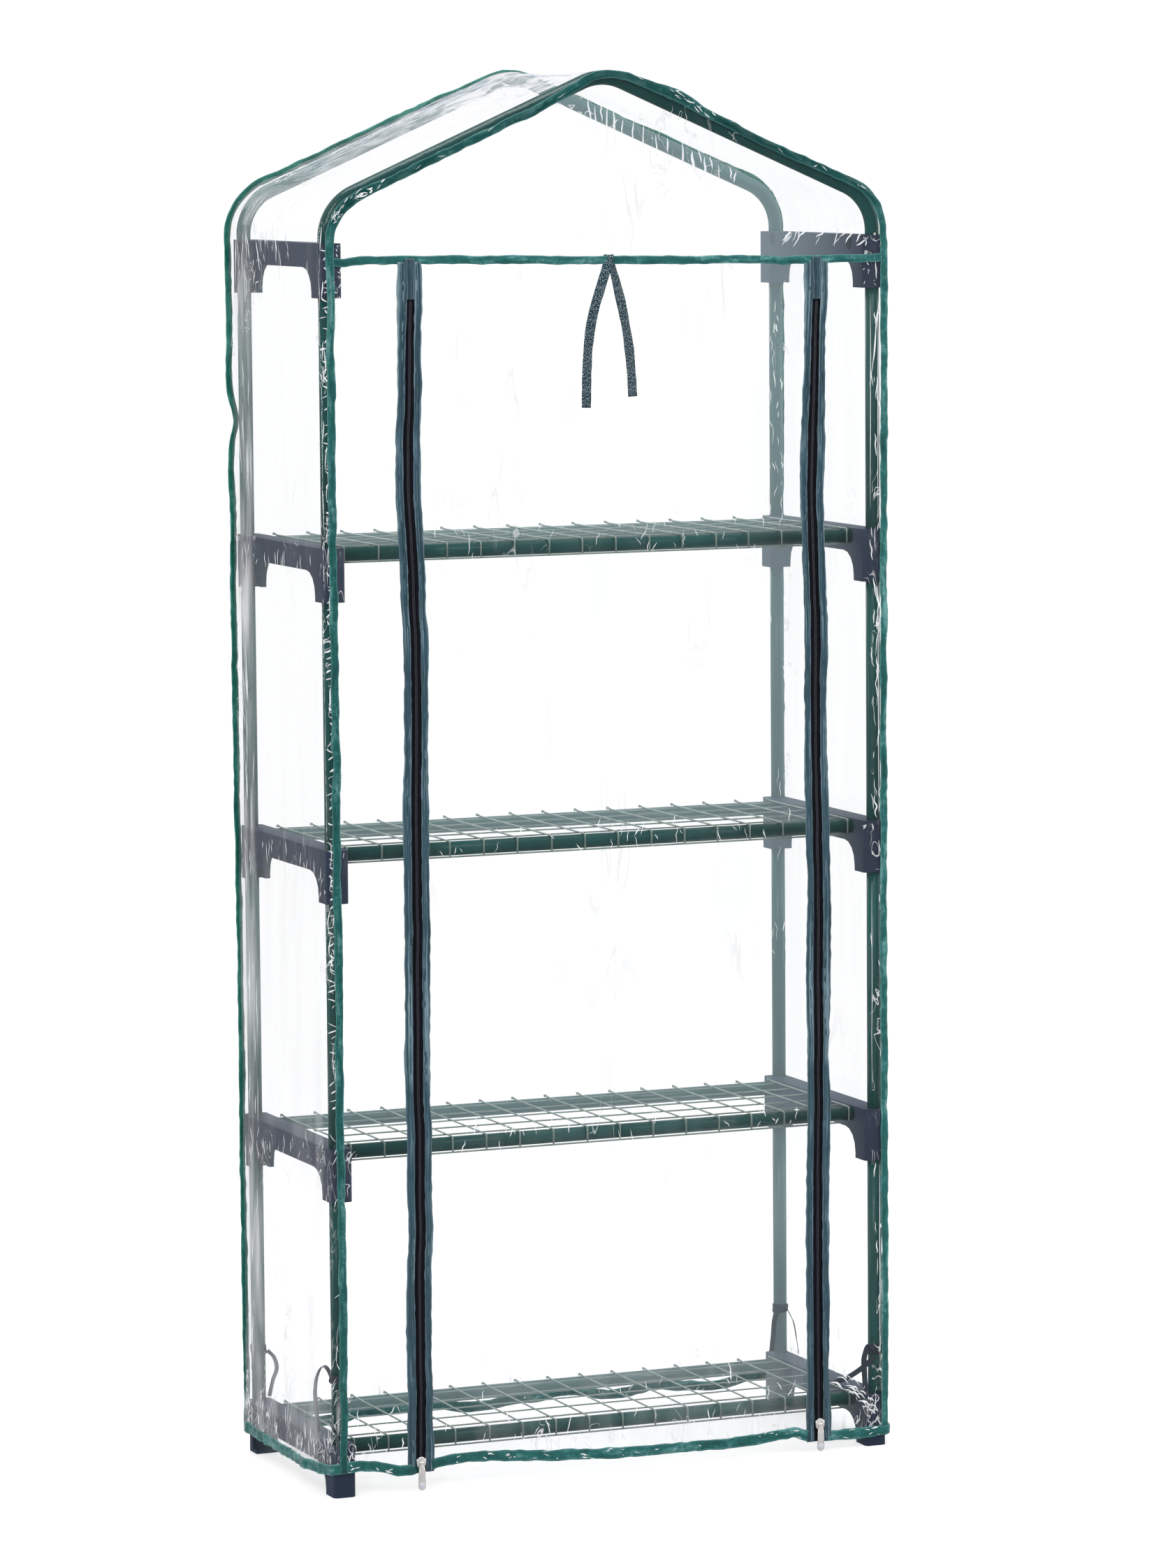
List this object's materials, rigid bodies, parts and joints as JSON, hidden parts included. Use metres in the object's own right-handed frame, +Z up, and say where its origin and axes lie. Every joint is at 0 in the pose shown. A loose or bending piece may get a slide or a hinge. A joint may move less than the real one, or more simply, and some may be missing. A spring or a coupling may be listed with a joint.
{
  "type": "mini greenhouse",
  "caption": "Tube-framed mini greenhouse: wire shelves on moulded side brackets under a clear zip-front film cover with a gabled roof.",
  "frame": {"origin": "on the ground at the middle of the footprint", "axes": "+Z up, -Y towards the zip front, +X to the right seen from the front"},
  "size_m": [0.6898, 0.3019, 1.5925],
  "materials": {
    "frame_tube": "dark green powder coat",
    "bracket": "moulded blue-grey plastic",
    "shelf_wire": "grey-green coated wire",
    "film": "clear creased PVC film",
    "binding": "green folded binding tape",
    "zip_metal": "nickel-plated",
    "tie": "woven dark teal ribbon"
  },
  "bodies": {
    "frame_and_cover": {"bracket_right_1": "bracket", "bracket_left_1": "bracket", "bracket_right_2": "bracket", "bracket_left_2": "bracket", "bracket_right_3": "bracket", "bracket_left_3": "bracket", "bracket_right_4": "bracket", "bracket_left_4": "bracket", "bracket_right_5": "bracket", "bracket_left_5": "bracket", "post_front_left_1": "frame_tube", "post_front_right_1": "frame_tube", "post_rear_left_1": "frame_tube", "post_rear_right_1": "frame_tube", "shelf_tube_front_1": "frame_tube", "shelf_tube_rear_1": "frame_tube", "post_front_left_2": "frame_tube", "post_front_right_2": "frame_tube", "post_rear_left_2": "frame_tube", "post_rear_right_2": "frame_tube", "shelf_tube_front_2": "frame_tube", "shelf_tube_rear_2": "frame_tube", "post_front_left_3": "frame_tube", "post_front_right_3": "frame_tube", "post_rear_left_3": "frame_tube", "post_rear_right_3": "frame_tube", "shelf_tube_front_3": "frame_tube", "shelf_tube_rear_3": "frame_tube", "post_front_left_4": "frame_tube", "post_front_right_4": "frame_tube", "post_rear_left_4": "frame_tube", "post_rear_right_4": "frame_tube", "shelf_tube_front_4": "frame_tube", "shelf_tube_rear_4": "frame_tube", "arch_front": "frame_tube", "arch_rear": "frame_tube", "film_roof_and_sides": "film", "film_back": "film", "film_front_with_zip_tapes": "film", "cover_binding": "binding", "door_section_1": "film", "door_tie_front": "tie", "door_tie_rear": "tie", "frame_tie_front_left": "tie", "frame_tie_front_right": "tie", "frame_tie_rear_left": "tie", "frame_tie_rear_right": "tie"},
    "door_section_2": {"door_section_2": "film"},
    "door_section_3": {"door_section_3": "film"},
    "door_section_4": {"door_section_4": "film"},
    "door_section_5": {"door_section_5": "film"},
    "door_section_6": {"door_section_6": "film"},
    "zip_slider_left": {"zip_slider_left": "zip_metal"},
    "zip_pull_left": {"zip_pull_left": "zip_metal"},
    "zip_slider_right": {"zip_slider_right": "zip_metal"},
    "zip_pull_right": {"zip_pull_right": "zip_metal"},
    "shelf_1": {"wire_shelf_1": "shelf_wire"},
    "shelf_2": {"wire_shelf_2": "shelf_wire"},
    "shelf_3": {"wire_shelf_3": "shelf_wire"},
    "shelf_4": {"wire_shelf_4": "shelf_wire"}
  },
  "joints": [
    {"name": "door_lift", "type": "slide", "parent": "frame_and_cover", "child": "door_section_6", "axis": [0, 0, 1], "range_m": [0, 1.12808]},
    {"name": "door_gather_2", "type": "slide", "parent": "frame_and_cover", "child": "door_section_2", "axis": [0, 0, 1], "range_m": [0, 0.22562]},
    {"name": "door_gather_3", "type": "slide", "parent": "frame_and_cover", "child": "door_section_3", "axis": [0, 0, 1], "range_m": [0, 0.45123]},
    {"name": "door_gather_4", "type": "slide", "parent": "frame_and_cover", "child": "door_section_4", "axis": [0, 0, 1], "range_m": [0, 0.67685]},
    {"name": "door_gather_5", "type": "slide", "parent": "frame_and_cover", "child": "door_section_5", "axis": [0, 0, 1], "range_m": [0, 0.90247]},
    {"name": "zip_left", "type": "slide", "parent": "frame_and_cover", "child": "zip_slider_left", "axis": [0, 0, 1], "range_m": [0, 1.12808]},
    {"name": "zip_pull_left_swing", "type": "hinge", "parent": "zip_slider_left", "child": "zip_pull_left", "pos_m": [-0.2395, -0.1494, 0.033], "axis": [-1, 0, 0], "range_deg": [0, 165]},
    {"name": "zip_right", "type": "slide", "parent": "frame_and_cover", "child": "zip_slider_right", "axis": [0, 0, 1], "range_m": [0, 1.12808]},
    {"name": "zip_pull_right_swing", "type": "hinge", "parent": "zip_slider_right", "child": "zip_pull_right", "pos_m": [0.2545, -0.1494, 0.033], "axis": [-1, 0, 0], "range_deg": [0, 165]},
    {"name": "shelf_1_lift", "type": "slide", "parent": "frame_and_cover", "child": "shelf_1", "axis": [0, 0, 1], "range_m": [0, 0.03]},
    {"name": "shelf_2_lift", "type": "slide", "parent": "frame_and_cover", "child": "shelf_2", "axis": [0, 0, 1], "range_m": [0, 0.03]},
    {"name": "shelf_3_lift", "type": "slide", "parent": "frame_and_cover", "child": "shelf_3", "axis": [0, 0, 1], "range_m": [0, 0.03]},
    {"name": "shelf_4_lift", "type": "slide", "parent": "frame_and_cover", "child": "shelf_4", "axis": [0, 0, 1], "range_m": [0, 0.03]}
  ],
  "couplings": [
    {"joint": "door_gather_2", "follows": "door_lift", "ratio": 0.2},
    {"joint": "door_gather_3", "follows": "door_lift", "ratio": 0.4},
    {"joint": "door_gather_4", "follows": "door_lift", "ratio": 0.6},
    {"joint": "door_gather_5", "follows": "door_lift", "ratio": 0.8},
    {"joint": "zip_left", "follows": "door_lift", "ratio": 1},
    {"joint": "zip_right", "follows": "door_lift", "ratio": 1}
  ]
}
